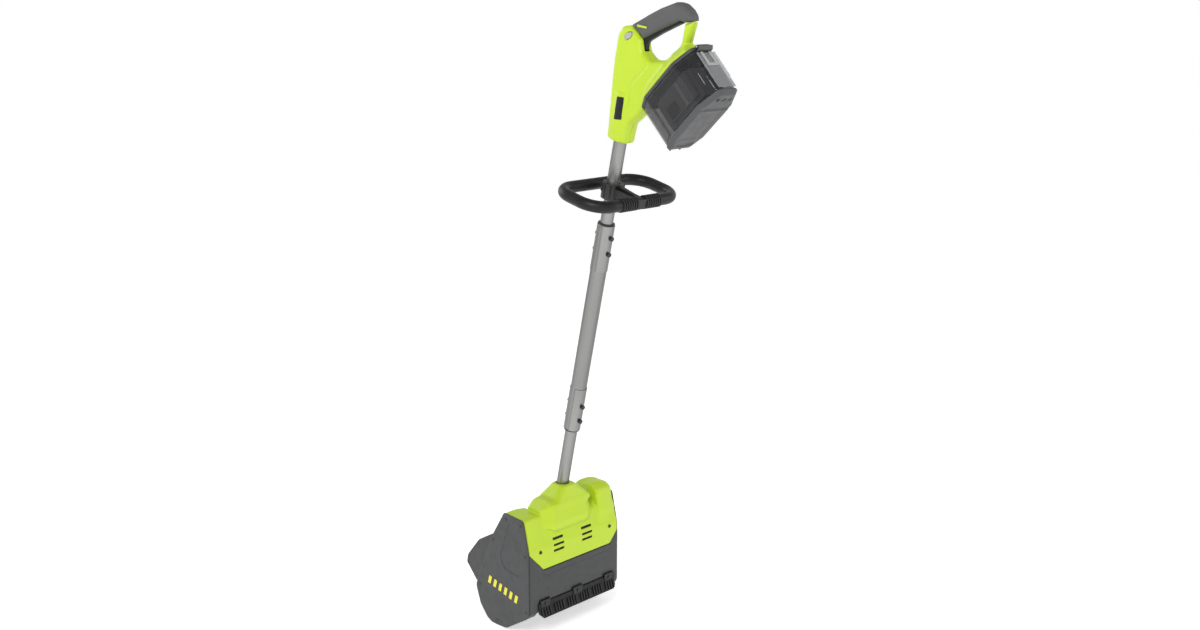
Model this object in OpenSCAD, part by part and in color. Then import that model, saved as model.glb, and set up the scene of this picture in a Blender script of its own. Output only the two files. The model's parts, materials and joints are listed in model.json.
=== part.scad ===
// Cordless snow shovel: two-blade auger head on a three-piece shaft, loop handle,
// D-grip with a trigger, and a covered battery bay behind the grip.
// +Z is up, the snow intake faces -Y, the operator stands at +Y and +X is the operator's left.
// The head stands level here and the shaft leans back by shaft_lean.

/* [Head] */
// Half width of the auger housing between its side plates
housing_hw = 121; // [115:1:125]
// Thickness of each side plate
plate_t = 4; // [3:0.5:5]
// Outside width of the belt cover
belt_case_w = 22; // [20:1:24]
// Depth of the skid's lowest point below the shaft collar
head_drop = 329; // [320:1:340]
// Radius of the auger blades
auger_r = 80; // [70:1:82]
// Radius of the auger's core tube
core_r = 24; // [20:1:28]
// Radius of the auger shaft
auger_shaft_r = 8; // [7:0.5:9]

/* [Drive] */
// Radius of the motor's pulley over its grooves
drive_pulley_r = 12; // [11:0.5:14]
// Radius of the auger's pulley over its grooves
auger_pulley_r = 46; // [42:1:48]
// Radius of the motor can
motor_r = 24; // [22:0.5:25]

/* [Shaft] */
// Lean of the shaft back from upright, in degrees
shaft_lean = 13; // [10:0.5:16]
// Outside radius of the upper and lower tubes
tube_r = 14; // [13:0.5:14.5]
// Outside radius of the middle tube
mid_tube_r = 18; // [17.5:0.5:19]
// Wall of the tubes
tube_wall = 1.6; // [1.2:0.1:2]
// Station of the lower joint's lower rim along the shaft
lower_joint = 148; // [140:1:160]
// Station of the upper joint's upper rim along the shaft
upper_joint = 640; // [620:1:650]

/* [Loop handle] */
// Station of the loop handle along the shaft
loop_at = 716; // [705:1:730]
// Radius of the loop's bar
loop_bar_r = 12.5; // [11:0.5:13]
// Half width of the loop at its bar's centre line
loop_hw = 122; // [110:1:124]

/* [D-grip] */
// Half width of the handle's lime shells
shell_hw = 21; // [20:0.5:23]
// Half width of the grip overmould
grip_hw = 16; // [15:0.5:18]
// Half width of the trigger
trigger_hw = 7; // [6:0.5:8]

/* [Battery bay] */
// Length of the bay from its hinge end to its latch end
bay_len = 178; // [174:1:182]
// Half width of the bay at its middle
bay_hw = 48; // [47:1:50]
// Half width of the bay at its two ends
bay_end_hw = 27; // [25:1:30]
// Depth of the cover over the bay's base
bay_depth = 112; // [110:1:116]
// Wall of the cover
cover_wall = 2.5; // [2:0.1:3]
// Half width of the battery pack
pack_hw = 38; // [36:0.5:39]

/* [Hidden] */

$fn = 48;
e = 0.01;                        // overlap that keeps cuts clean
gap = 0.3;                       // gap between separate mouldings
head_x = -5.75;                  // foot of the shaft, which centres the whole part on Z
head_y = -132.74;
screw_r = 2;                     // radius of the housing screws' shanks
screw_head_r = 3.6;              // radius of their heads

auger_y = -66;                   // auger axis, from the collar
auger_z = -232;
motor_y = 0;                     // motor axis, from the collar
motor_z = -70;
case_in = housing_hw + plate_t;  // inner face of the belt cover's rim
case_out = case_in + belt_case_w;
belt_x = case_in + 5;            // start of the pulleys along X
belt_w = 12;                     // width of the pulleys

// Side outline of the head, as (y, z) from the collar
side_outline = [
  [-81, -110], [-144, -252], [-128, -296], [-104, -322], [-88, -329], [-70, -329],
  [-35, -326], [46, -273], [47, -115], [30, -42], [-36, -40]
];
rear_y = 46;                     // back face of the housing
scraper_z = -249;                // line of the scraper's screws
cover_screw_x = [111, -105];
cover_screw_z = -122;
case_screws = [[-28, -54], [22, -56], [-76, -118], [36, -126], [-128, -246], [36, -262], [-66, -316]];

mid_in = mid_tube_r - tube_wall;
joint_len = 104;                 // length of each swaged joint
bolt_at = [26, 62];              // bolts, from each joint's free rim
bolt_r = 3;

// Shaft stations in the handle
tube_top = 930;
pivot = [108, 1111];             // trigger pivot (rearward, along the shaft)

bay_tilt = 123.8;                // turn of the bay from the shaft
bay_v = 166.6;                   // hinge end of the bay's base
bay_t = 1063;
base_t = 7;                      // thickness of the bay's base above the shells
hinge_y = -4;                    // hinge pin in the bay frame
hinge_z = 3;
pack_y0 = 30;                    // hinge-side end of the battery pack
pack_len = 110;
pack_z0 = 26;                    // top of the stem, where the pack's body starts
pack_z1 = 90;

module in_head() translate([head_x, head_y, head_drop]) children();
module in_shaft() in_head() rotate([-shaft_lean, 0, 0]) children();
// The bay frame: y runs from the hinge to the latch, z out of the base
module in_shaft_bay() translate([0, bay_v, bay_t]) rotate([-bay_tilt, 0, 0]) children();
module in_bay() in_shaft() in_shaft_bay() children();
module at_auger() in_head() translate([0, auger_y, auger_z]) children();
module at_motor() in_head() translate([0, motor_y, motor_z]) children();

// A cylinder along X from x0 to x1
module xcyl(r, x0, x1) translate([x0, 0, 0]) rotate([0, 90, 0]) cylinder(r = r, h = x1 - x0);
// A cylinder along Y from y0 to y1
module ycyl(r, y0, y1) translate([0, y0, 0]) rotate([-90, 0, 0]) cylinder(r = r, h = y1 - y0);
// A ring along X
module xring(r, hole, x0, x1) difference() {
  xcyl(r, x0, x1);
  xcyl(hole, x0 - 1, x1 + 1);
}
// A (y, z) outline extruded along X from x0 to x1
module xslab(pts, x0, x1)
  translate([x0, 0, 0]) rotate([90, 0, 90]) linear_extrude(x1 - x0) polygon(pts);
module box(x0, x1, y0, y1, z0, z1) translate([x0, y0, z0]) cube([x1 - x0, y1 - y0, z1 - z0]);
// A pan-head screw pointing along +X, its head's underside at x = 0
module xscrew(len) {
  xcyl(screw_r, -e, len);
  xcyl(screw_head_r, -2.2, 0);
}
// A pan-head screw pointing along -Y, its head's underside at y = 0
module yscrew(len, head) {
  ycyl(screw_r, -len, e);
  ycyl(screw_head_r, 0, head);
}
// Moves each point of an outline towards (cy, cz) by the same share
function shrink(pts, cy, cz, k) = [for (p = pts) [cy + (p[0] - cy) * k, cz + (p[1] - cz) * k]];

// ---------------------------------------------------------------- head

// Main moulding: back wall, scroll round the auger and floor under the motor
module auger_housing() color("#4a4b4d") in_head() {
  x0 = -housing_hw;
  x1 = housing_hw;
  difference() {
    xslab([[rear_y - 2, -118], [rear_y - 2, -266], [-16, -309], [-16, -250], [-112, -160],
           [-112, -128], [-80, -118]], x0, x1);
    translate([0, auger_y, auger_z]) xcyl(auger_r + 6, x0 - 1, x1 + 1);
    xslab([[-16.1, -330], [-16.1, -307.8], [-160, -200], [-113, -160.5], [-160, -330]], x0 - 1, x1 + 1);
    // hollow between the scroll and the back wall
    xslab([[rear_y - 6, -180], [rear_y - 6, -262], [22, -276], [30, -232], [18, -184]], x0 + 4, x1 - 4);
    xslab([[rear_y - 6, -122], [rear_y - 6, -176], [14, -178], [-20, -152], [-60, -140],
           [-76, -134], [-76, -122]], x0 + 4, x1 - 4);
    for (p = case_screws) if (p[1] < -100 && p[0] > -80)
      translate([0, p[0], p[1]]) {
        xcyl(screw_r, x1 - 12, x1 + 1);
        xcyl(screw_r, x0 - 1, x0 + 12);
      }
    for (x = [-100, 0, 100]) translate([x, 0, scraper_z]) ycyl(screw_r, rear_y - 8, rear_y);
    for (x = cover_screw_x) translate([x, 0, cover_screw_z]) ycyl(screw_r, 20, rear_y);
  }
}

// Visor ahead of the auger, with a gusset at each end
module front_hood() color("#4a4b4d") in_head() {
  w = housing_hw - gap;
  lip = [[-112.3, -128], [-112.3, -124], [-162, -154], [-205, -205], [-209, -226], [-204, -226],
         [-200.5, -206.5], [-159.5, -157.5]];
  xslab(lip, -w, w);
  gusset = [[-112.3, -127], [-161, -156], [-203, -206], [-207, -226], [-174, -262],
            [-140, -256], [-112.3, -196]];
  for (s = [-1, 1]) xslab(gusset, s * (w - 2) - 2, s * (w - 2) + 2);
}

// Plate between the housing and a side cover, with the auger's bearing seat
module side_plate(s) {
  outline = shrink(side_outline, -35, -190, 0.985);
  difference() {
    xslab(outline, s > 0 ? housing_hw + gap : -housing_hw - plate_t, s > 0 ? housing_hw + plate_t : -housing_hw - gap);
    translate([0, auger_y, auger_z]) xcyl(16, -200, 200);
    if (s > 0) translate([0, motor_y, motor_z]) xcyl(9, -200, 200);
    for (p = case_screws) translate([0, p[0], p[1]]) xcyl(screw_r + 0.2, -200, 200);
  }
}
module left_side_plate() color("#3d3e40") in_head() side_plate(1);

// Right end of the head: plate, rim and bearing cup in one moulding
module right_side_plate() color("#4a4b4d") in_head() {
  x1 = -housing_hw - gap;
  x0 = x1 - 12;
  difference() {
    xslab(side_outline, x0, x1);
    xslab(shrink(side_outline, -40, -190, 0.93), x0 + 3, x1 - 4);
    translate([0, auger_y, auger_z]) xcyl(16, x0 + 3, x1 + 1);
    for (p = case_screws) translate([0, p[0], p[1]]) xcyl(screw_r + 0.2, x0 - 1, x1 + 1);
  }
  for (p = case_screws) translate([0, p[0], p[1]])
    xring(4.2, screw_r + 0.2, x0 + 3 - e, x1 - 4 + e);
  translate([0, auger_y, auger_z]) xring(20, 16, x0 + 3 - e, x1 - 4 + e);
}

// Outer cover of the belt drive
module belt_cover() color("#4a4b4d") in_head() {
  x0 = case_in + gap;
  x1 = case_out;
  difference() {
    union() {
      xslab(side_outline, x0, x1 - 2.5);
      xslab(shrink(side_outline, -40, -190, 0.965), x1 - 2.6, x1 - e);
    }
    xslab(shrink(side_outline, -40, -190, 0.95), x0 - 1, x1 - 3);
    for (p = case_screws) translate([0, p[0], p[1]]) {
      xcyl(screw_r + 0.2, x0 - 1, x1 + 1);
      xcyl(screw_head_r + 0.2, x1 - 1.2, x1 + 1);
    }
  }
  for (p = case_screws) translate([0, p[0], p[1]])
    xring(4.2, screw_r + 0.2, x0, x1 - 3 + e);
}

// Side view of the upper moulding, grown by a distance
module cover_profile(top, grow) {
  polygon([[-81 - grow, -116 - grow], [-42 - grow, top + grow], [30 + grow, top + grow],
           [rear_y + 2 + grow, -112], [rear_y + 2 + grow, -166]]);
}
module cover_body(x0, x1, top, grow) translate([x0, 0, 0]) rotate([90, 0, 90])
  linear_extrude(x1 - x0) cover_profile(top, grow);

// Upper moulding over the motor, with two humps, the motor's bulge and the shaft's collar
module top_cover() color("#c8e632") in_head() {
  x0 = -housing_hw;
  x1 = housing_hw;
  difference() {
    union() {
      cover_body(x0, x1, -60, 0);
      cover_body(84, x1, -41, 0);
      cover_body(x0, -72, -34, 0);
      // motor bulge
      xslab([[-34, -62], [-28, -30], [-16, -20], [26, -20], [38, -28], [47, -70], [48, -84]], -52, 88);
      // collar round the foot of the shaft
      hull() {
        translate([0, 4, -24]) cube([104, 50, 2], center = true);
        translate([0, 1, 4]) rotate([-shaft_lean, 0, 0]) cylinder(r = 21, h = 1, $fn = 32);
      }
    }
    // inside
    difference() {
      union() {
        cover_body(x0 + 3, x1 - 3, -63, -3);
        cover_body(87, x1 - 3, -44, -3);
        cover_body(x0 + 3, -75, -37, -3);
        xslab([[-31, -66], [-25, -32], [-14, -23], [24, -23], [35, -31], [44, -72], [44, -88]], -49, 85);
      }
      // screw bosses
      for (x = cover_screw_x) translate([x, 0, cover_screw_z]) ycyl(5, 20, 60);
      // rib block that grips the shaft's socket
      box(-24, 24, -30, 36, -60, 10);
    }
    // open underside
    xslab([[-140, -119.5], [-100, -117.5], [rear_y - 2 + gap, -117.5], [rear_y - 2 + gap, -180],
           [-140, -180]], x0 - 1, x1 + 1);
    box(-housing_hw - 1, housing_hw + 1, 0, 60, -190, -165);
    // chamfered lower corners
    for (s = [-1, 1]) translate([0, 60, 0]) rotate([90, 0, 0]) linear_extrude(60)
      polygon([[s * 106, -166], [s * 124, -166], [s * 124, -138]]);
    for (p = case_screws) translate([0, p[0], p[1]]) {
      xcyl(screw_r + 0.1, 100, 200);
      xcyl(screw_r + 0.1, -200, -100);
    }
    translate([0, motor_y, motor_z]) xcyl(9, 100, 200);
    // vents
    for (x = [54, -34], i = [0:2]) box(x - 15, x + 15, 30, 60, -106 - i * 13, -102 - i * 13);
    for (x = cover_screw_x) translate([x, 0, cover_screw_z]) ycyl(screw_r + 0.2, 0, 60);
    rotate([-shaft_lean, 0, 0]) translate([0, 0, -70]) cylinder(r = tube_r + gap, h = 100);
    box(-21 - gap, 21 + gap, -26 - gap, 32 + gap, -70, -16 + gap);
    translate([0, motor_y, motor_z]) xcyl(motor_r + 2, -50, 86);
  }
}

// Cast socket that carries the shaft on the housing
module shaft_socket() color("silver") in_head() {
  difference() {
    box(-21, 21, -26, 32, motor_z + motor_r + 3, -16);
    rotate([-shaft_lean, 0, 0]) translate([0, 0, -70]) cylinder(r = tube_r + 0.1, h = 110);
    for (s = [-1, 1]) translate([s * 17.5, 0, -30]) ycyl(1.6, -40, 40);
  }
}

// Ribbed wear strip along the rear lower edge
module scraper() color("#1d1e1f") in_head() {
  w = 118;
  difference() {
    union() {
      xslab([[rear_y, -246], [rear_y + 3, -246], [rear_y + 5, -262], [rear_y + 12, -280], [rear_y + 6, -283],
             [rear_y, -268]], -w, w);
      for (i = [-14:14]) if (abs(i) % 5 != 0)
        xslab([[rear_y + 2, -254], [rear_y + 7, -258], [rear_y + 13, -276], [rear_y + 8, -279]],
              i * 8 - 1.6, i * 8 + 1.6);
      for (x = [-100, 0, 100]) box(x - 14, x + 14, rear_y, rear_y + 5.5, -262, -240);
    }
    for (x = [-100, 0, 100]) translate([x, 0, scraper_z]) ycyl(screw_r + 0.2, rear_y - 1, rear_y + 6);
    for (s = [-1, 1]) translate([s * w, rear_y - 1, -283]) rotate([0, s * 45, 0])
      cube([16, 40, 16], center = true);
  }
}
module scraper_screws() color("#222") in_head() for (x = [-100, 0, 100])
  translate([x, rear_y + 5.5, scraper_z]) yscrew(13, 2);
module belt_cover_screws() color("#1a1a1a") in_head() for (p = case_screws)
  translate([case_out - 1.2, p[0], p[1]]) {
    xcyl(screw_r, -36, e);
    xcyl(screw_head_r, 0, 1);
  }
module side_plate_screws() color("#1a1a1a") in_head() for (p = case_screws)
  translate([-housing_hw - gap - 12, p[0], p[1]]) xscrew(20);
module top_cover_screws() color("#1a1a1a") in_head() for (x = cover_screw_x)
  translate([x, rear_y + 2, cover_screw_z]) yscrew(20, 1.6);

// ---------------------------------------------------------------- drive

motor_x0 = -26;
motor_x1 = 82;
module motor_can() color("silver") at_motor() difference() {
  xcyl(motor_r, motor_x0, motor_x1);
  xcyl(motor_r - 2, motor_x0 + 3, motor_x1 - 3);
  xcyl(3.05, motor_x0 - 1, motor_x1 + 1);
  for (a = [0:60:300]) rotate([a, 0, 0]) translate([0, 0, 15]) xcyl(3, motor_x0 - 1, motor_x0 + 4);
}
module motor_shaft() color("gainsboro") at_motor() {
  xcyl(3, motor_x0 - 26, belt_x + belt_w + 1);
  xcyl(18, motor_x0 + 16, motor_x1 - 18);
  xcyl(9, motor_x0 + 7, motor_x0 + 15);
}
module motor_fan() color("#222") at_motor() difference() {
  union() {
    xcyl(7, motor_x0 - 22, motor_x0 - 6);
    xcyl(20, motor_x0 - 8, motor_x0 - 6);
    for (a = [0:40:320]) rotate([a, 0, 0]) box(motor_x0 - 20, motor_x0 - 7, -1, 1, 6, 20);
  }
  xcyl(3 + e, motor_x0 - 30, motor_x0);
}
// Two saddles that hold the motor down on the housing
module motor_clamps() color("#3a3b3d") at_motor() for (x = [motor_x0 + 8, motor_x1 - 20]) difference() {
  box(x, x + 12, -22, 22, -47.2, 6);
  xcyl(motor_r + 0.05, x - 1, x + 13);
}
module pulley(r, hub, hole) difference() {
  union() {
    xring(r + 2.5, hole, belt_x, belt_x + 1.2);
    xring(r, hole, belt_x + 1, belt_x + belt_w - 1);
    xring(r + 2.5, hole, belt_x + belt_w - 1.2, belt_x + belt_w);
  }
  if (r > 20) for (a = [0:60:300]) rotate([a, 0, 0]) translate([0, 0, (r + hub) / 2]) xcyl(8, 0, 200);
}
module drive_pulley() color("silver") at_motor() pulley(drive_pulley_r, 0, 3 + e);
module auger_pulley() color("#2b2b2b") at_auger() pulley(auger_pulley_r, 14, auger_shaft_r + e);

// Flat loop of belt round both pulleys, on the outer tangents
belt_gap = 0.35;
belt_t = 2.3;
belt_dy = auger_y - motor_y;
belt_dz = auger_z - motor_z;
belt_d = sqrt(belt_dy * belt_dy + belt_dz * belt_dz);
belt_side = asin((auger_pulley_r - drive_pulley_r) / belt_d);
function arc(cz, r, a0, a1) = [for (i = [0:20]) let (a = a0 + (a1 - a0) * i / 20) [r * cos(a), cz + r * sin(a)]];
// Outline round both pulleys; +z runs from the motor to the auger
function belt_outline(grow) = concat(
  arc(0, drive_pulley_r + grow, belt_side - 180, -belt_side),
  arc(belt_d, auger_pulley_r + grow, -belt_side, 180 + belt_side));
module drive_belt() color("#1b1b1b") at_motor() rotate([atan2(-belt_dy, belt_dz), 0, 0]) difference() {
  xslab(belt_outline(belt_gap + belt_t), belt_x + 1.5, belt_x + belt_w - 1.5);
  xslab(belt_outline(belt_gap), belt_x, belt_x + belt_w);
}

// ---------------------------------------------------------------- auger

bearing_w = 8;
left_seat = housing_hw - 6;
right_seat = -housing_hw - 9;
module auger_shaft() color("gainsboro") at_auger() xcyl(auger_shaft_r, right_seat + 0.5, belt_x + belt_w + 1);
module auger_core() color("#2e2f31") at_auger() {
  w = housing_hw - 8;
  difference() {
    union() {
      xcyl(core_r, -w, w);
      for (x = [-w, w - 3]) xcyl(core_r + 8, x, x + 3);
      for (a = [0, 180]) rotate([a, 0, 0]) box(-w + 3, w - 3, -4, 4, core_r - 3, core_r + 20);
    }
    xcyl(auger_shaft_r + e, -w - 1, w + 1);
  }
}
// Two paddle blades, swept forward towards the middle of the auger
module auger_blades() color("#1d1d1e") at_auger() for (a = [0, 180]) rotate([a, 0, 0]) {
  w = housing_hw - 12;
  difference() {
    box(-w, w, -8.5, -4.2, core_r + 3, auger_r);
    for (i = [-3:3]) translate([i * 30, 0, auger_r - 6]) ycyl(2.4, -10, 0);
  }
  difference() {
    box(-w, w, 4.2, 8.5, core_r + 3, core_r + 20);
    for (i = [-3:3]) translate([i * 30, 0, core_r + 12]) ycyl(2.4, 0, 10);
  }
}
module left_bearing() color("silver") at_auger() xring(16, auger_shaft_r + 0.03, housing_hw - 3, housing_hw + 4);
module right_bearing() color("silver") at_auger() xring(16, auger_shaft_r + 0.03, right_seat, right_seat + bearing_w);

// ---------------------------------------------------------------- shaft

module tube(r, wall, z0, z1) difference() {
  translate([0, 0, z0]) cylinder(r = r, h = z1 - z0);
  translate([0, 0, z0 - 1]) cylinder(r = r - wall, h = z1 - z0 + 2);
}
bolt_stations = [lower_joint + bolt_at[0], lower_joint + bolt_at[1],
                 upper_joint - bolt_at[0], upper_joint - bolt_at[1]];
module bolt_holes(r) for (z = bolt_stations) translate([0, 0, z]) ycyl(r, -40, 40);
module lower_tube() color("#8b8b88") in_shaft() difference() {
  tube(tube_r, tube_wall, -36, lower_joint + 86);
  bolt_holes(bolt_r + 0.1);
}
module middle_tube() color("#7f7f7c") in_shaft() difference() {
  union() {
    tube(mid_tube_r, tube_wall, lower_joint + 4, upper_joint - 4);
    for (z = [lower_joint, upper_joint - joint_len]) intersection() {
      tube(mid_tube_r + 1.2, 2.8, z, z + joint_len);
      translate([0, 0, z + joint_len / 2]) cube([34.6, 60, joint_len + 2], center = true);
    }
  }
  bolt_holes(bolt_r + 0.1);
}
module upper_tube() color("#8b8b88") in_shaft() difference() {
  tube(tube_r, tube_wall, upper_joint - 86, tube_top);
  bolt_holes(bolt_r + 0.1);
  translate([0, 0, tube_top - 30]) ycyl(2.2, -40, 40);
}
module bushing(rim, other) difference() {
  union() {
    s = rim > other ? 1 : -1;
    tube(mid_in - 0.05, mid_in - tube_r - 0.1, min(rim + s, other), max(rim + s, other));
    tube(mid_tube_r, mid_tube_r - tube_r - 0.05, rim + (s > 0 ? gap : -3), rim + (s > 0 ? 3 : -gap));
  }
  bolt_holes(bolt_r + 0.1);
}
module lower_bushing() color("#1e1e1e") in_shaft() bushing(lower_joint, lower_joint + 84);
module upper_bushing() color("#1e1e1e") in_shaft() bushing(upper_joint, upper_joint - 84);
module joint_bolts() color("#1a1a1a") in_shaft() for (z = bolt_stations) translate([0, 0, z]) {
  ycyl(bolt_r, -24, 19.4);
  ycyl(5, 19.35, 25);
}
module joint_nuts() color("#555") in_shaft() for (z = bolt_stations) translate([0, 0, z]) difference() {
  rotate([90, 0, 0]) translate([0, 0, 19.4]) cylinder(r = 5.6, h = 4.2, $fn = 6);
  ycyl(bolt_r, -40, 0);
}
// Harness inside the tubes, beside the bolts
module power_cable() color("#222") in_shaft() translate([7.6, 0, -44]) cylinder(r = 3, h = tube_top + 60);

// ---------------------------------------------------------------- loop handle

loop_front = -44;                // bar's centre line ahead of the shaft
loop_rear = 80;                  // and behind it
loop_corner = 46;
loop_end = 12;                   // half gap between the bar's ends
module in_loop() in_shaft() translate([0, 0, loop_at]) children();
module corner(x, y, a) translate([x, y, 0]) rotate([0, 0, a]) rotate_extrude(angle = 90)
  translate([loop_corner, 0]) circle(r = loop_bar_r);
module loop_handle() color("#1f2022") in_loop() difference() {
  union() {
    xi = loop_hw - loop_corner;
    corner(xi, loop_rear - loop_corner, 0);
    corner(-xi, loop_rear - loop_corner, 90);
    corner(-xi, loop_front + loop_corner, 180);
    corner(xi, loop_front + loop_corner, 270);
    translate([0, loop_front, 0]) xcyl(loop_bar_r, -xi, xi);
    for (s = [-1, 1]) {
      translate([s * loop_hw, 0, 0]) ycyl(loop_bar_r, loop_front + loop_corner, loop_rear - loop_corner);
      translate([0, loop_rear, 0]) xcyl(loop_bar_r, s > 0 ? 56 : -xi, s > 0 ? xi : -56);
      translate([0, loop_rear, 0]) xcyl(9, s > 0 ? loop_end : -57, s > 0 ? 57 : -loop_end);
    }
  }
  translate([0, loop_rear, 0]) xcyl(2.6, -60, 60);
}
// Ribbed sleeves on the two ends of the bar
module loop_grips() color("#161718") in_loop() translate([0, loop_rear, 0]) for (s = [-1, 1]) {
  x0 = s > 0 ? loop_end : -55.7;
  xring(12, 9.02, x0, x0 + 43.7);
  for (i = [0:6]) xring(14.5, 11.9, x0 + i * 6.5, x0 + i * 6.5 + 4);
}
// Bracket from the tube back to the loop's ends
clamp_hh = 17;
module handle_bracket() color("#1f2022") in_loop() difference() {
  union() {
    translate([0, 0, -clamp_hh]) cylinder(r = 22, h = 2 * clamp_hh);
    box(-22, 22, 1, 14, -clamp_hh, clamp_hh);
    box(-loop_end + gap, loop_end - gap, 12, loop_rear + 11, -10, 10);
    xslab([[12, -clamp_hh], [12, clamp_hh], [loop_rear + 4, 11], [loop_rear + 4, -11]], -5, 5);
  }
  translate([0, 0, -50]) cylinder(r = tube_r + 0.08, h = 100);
  box(-40, 40, -40, 1, -40, 40);
  translate([0, loop_rear, 0]) xcyl(2.6, -60, 60);
  for (s = [-1, 1]) translate([s * 18.2, 0, 0]) ycyl(2.1, -40, 13);
}
module clamp_jaw() color("#1f2022") in_loop() difference() {
  translate([0, 0, -clamp_hh]) cylinder(r = 22, h = 2 * clamp_hh);
  translate([0, 0, -50]) cylinder(r = tube_r + 0.08, h = 100);
  box(-40, 40, -1, 40, -40, 40);
  for (s = [-1, 1]) translate([s * 18.2, 0, 0]) {
    ycyl(2.1, -40, 10);
    ycyl(4, -40, -9);
  }
}
module clamp_screws() color("#333") in_loop() {
  for (s = [-1, 1]) translate([s * 18.2, 0, 0]) {
    ycyl(2, -9, 11);
    ycyl(3.8, -12.5, -9 - e);
  }
  translate([0, loop_rear, 0]) xcyl(2.5, -52, 52);
}

// ---------------------------------------------------------------- D-grip

// Outline of the lime shells, as (rearward, along the shaft)
shell_outline = [
  [-24, 826], [24, 826], [27, 866], [44, 886],
  [bay_v + 172 * cos(bay_tilt), bay_t - 172 * sin(bay_tilt)],
  [bay_v + 20 * cos(bay_tilt), bay_t - 20 * sin(bay_tilt)],
  [137, 1040], [140, 1085], [143, 1105], [123, 1097],
  [124, 1046], [106, 1022], [56, 1006], [32, 1020], [24, 1040], [7, 1050],
  [-12, 1060], [-34, 1052], [-43, 1036], [-37, 950]
];
// Outline of the grip overmould
grip_outline = [
  [-12.3, 1060.3], [7, 1050.3], [24, 1040.3], [62, 1066], [112, 1098], [121, 1097], [123, 1097.4], [143, 1105.4],
  [138, 1115], [127, 1124], [112, 1131], [94, 1131], [56, 1109], [28, 1090]
];
trigger_outline = [
  [104, 1111], [112, 1111], [112, 1094], [64, 1062], [33, 1039], [30, 1031], [29, 1018], [24, 1013],
  [18, 1016], [17, 1030], [20, 1041], [28, 1050], [60, 1073], [100, 1105]
];
// Everything the trigger sweeps, a little larger
module trigger_room() translate([-trigger_hw - gap, 0, 0]) rotate([90, 0, 90])
  linear_extrude(2 * (trigger_hw + gap)) union() {
    polygon([[116, 1116], [116, 1092], [64, 1059], [36, 1038], [33, 1030], [32, 1012], [20, 1008],
             [10, 1012], [8, 1028], [10, 1046], [22, 1062], [54, 1088], [98, 1117]]);
  }
body_hollow = [
  [-30, 946], [30, 946], [66, 942], [118, 1008], [100, 1014], [54, 1000], [12, 1002], [4, 1040], [-14, 1054],
  [-30, 1046], [-37, 1034]
];
shell_screws = [[-18, 938], [74, 958], [-31, 996], [100, 1000], [131, 1070], [38, 1001]];
button_at = [-24, 1038];
module shell(s) {
  difference() {
    union() {
      xslab(shell_outline, s > 0 ? 0.1 : -shell_hw + 4, s > 0 ? shell_hw - 4 : -0.1);
      xslab(shrink(shell_outline, 20, 960, 0.985), s > 0 ? 10 : -shell_hw, s > 0 ? shell_hw : -10);
    }
    // rear leg and top are slimmer than the body
    for (t = [-1, 1]) box(t > 0 ? 13 : -30, t > 0 ? 30 : -13, 112, 160, 1044, 1120);
    difference() {
      xslab(body_hollow, -shell_hw + 3, shell_hw - 3);
      for (p = shell_screws) translate([0, p[0], p[1]]) xcyl(4.6, -40, 40);
    }
    translate([0, 0, 800]) cylinder(r = tube_r + 0.1, h = tube_top - 800 + gap);
    translate([7.6, 0, 900]) cylinder(r = 4, h = 60);
    trigger_room();
    translate([0, 0, plunger_t]) ycyl(3.3, -8, 20);
    translate([0, button_at[0], button_at[1]]) xcyl(5.2, -40, 40);
    for (p = shell_screws) translate([0, p[0], p[1]]) xcyl(1.6, -12, shell_hw + 1);
    for (p = shell_screws) translate([0, p[0], p[1]]) xcyl(3.5, shell_hw - 4, shell_hw + 2);
    in_shaft_bay() {
      box(-60, 60, -40, 240, -0.2, 90);
      box(-19, 19, 61, 119, -5, 0);
      box(-14, 14, bay_len - 8, bay_len + 20, -8, 0);
    }
  }
}
module handle_shell_left() color("#c8e632") in_shaft() shell(1);
module handle_shell_right() color("#c8e632") in_shaft() shell(-1);
module handle_screws() color("#1a1a1a") in_shaft() for (p = shell_screws) translate([0, p[0], p[1]]) {
  xcyl(1.55, -11, shell_hw - 4);
  xcyl(3.2, shell_hw - 4, shell_hw - 1.6);
}
module grip_overmould() color("#5a5b5c") in_shaft() difference() {
  union() {
    xslab(grip_outline, -grip_hw + 4, grip_hw - 4);
    xslab(shrink(grip_outline, 66, 1088, 0.95), -grip_hw, grip_hw);
  }
  trigger_room();
  translate([0, pivot[0], pivot[1]]) xcyl(2, -12, 12);
  at_spring() cylinder(r = 4.4, h = 12);
}
module trigger() color("#1a1a1b") in_shaft() difference() {
  union() {
    xslab(trigger_outline, -trigger_hw, trigger_hw);
    translate([0, pivot[0], pivot[1]]) xcyl(4.4, -trigger_hw, trigger_hw);
  }
  translate([0, pivot[0], pivot[1]]) xcyl(2.05, -20, 20);
}
module trigger_pin() color("silver") in_shaft() translate([0, pivot[0], pivot[1]]) xcyl(2, -11.9, 11.9);
module at_spring() translate([0, 45, 1062.8]) rotate([35.7, 0, 0]) children();
// Coil spring between the trigger and the grip
module trigger_spring() color("silver") in_shaft() at_spring()
  for (i = [0:5]) translate([0, 0, 0.8 + i * 2]) rotate_extrude() translate([3, 0]) circle(r = 0.5, $fn = 16);
// Thumb button that frees the trigger, reaching both sides of the handle
module lock_off_button() color("#8d8f90") in_shaft() translate([0, button_at[0], button_at[1]]) {
  xcyl(5.1, -shell_hw - 2, shell_hw + 2);
}
plunger_t = 1022;                // plunger's station along the shaft
module main_switch() color("#222") in_shaft() difference() {
  box(-8, 8, -25, 0, 1006, 1031);
  translate([0, 0, plunger_t]) ycyl(3.05, -16, 1);
}
module switch_plunger() color("#b03020") in_shaft() translate([0, 0, plunger_t]) ycyl(3, -6, 16.2);
module control_board() color("#1e5a34") in_shaft() {
  box(10, 11.6, 22, 62, 954, 990);
  box(4.5, 10, 30, 48, 960, 984);
}

// ---------------------------------------------------------------- battery bay

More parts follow.
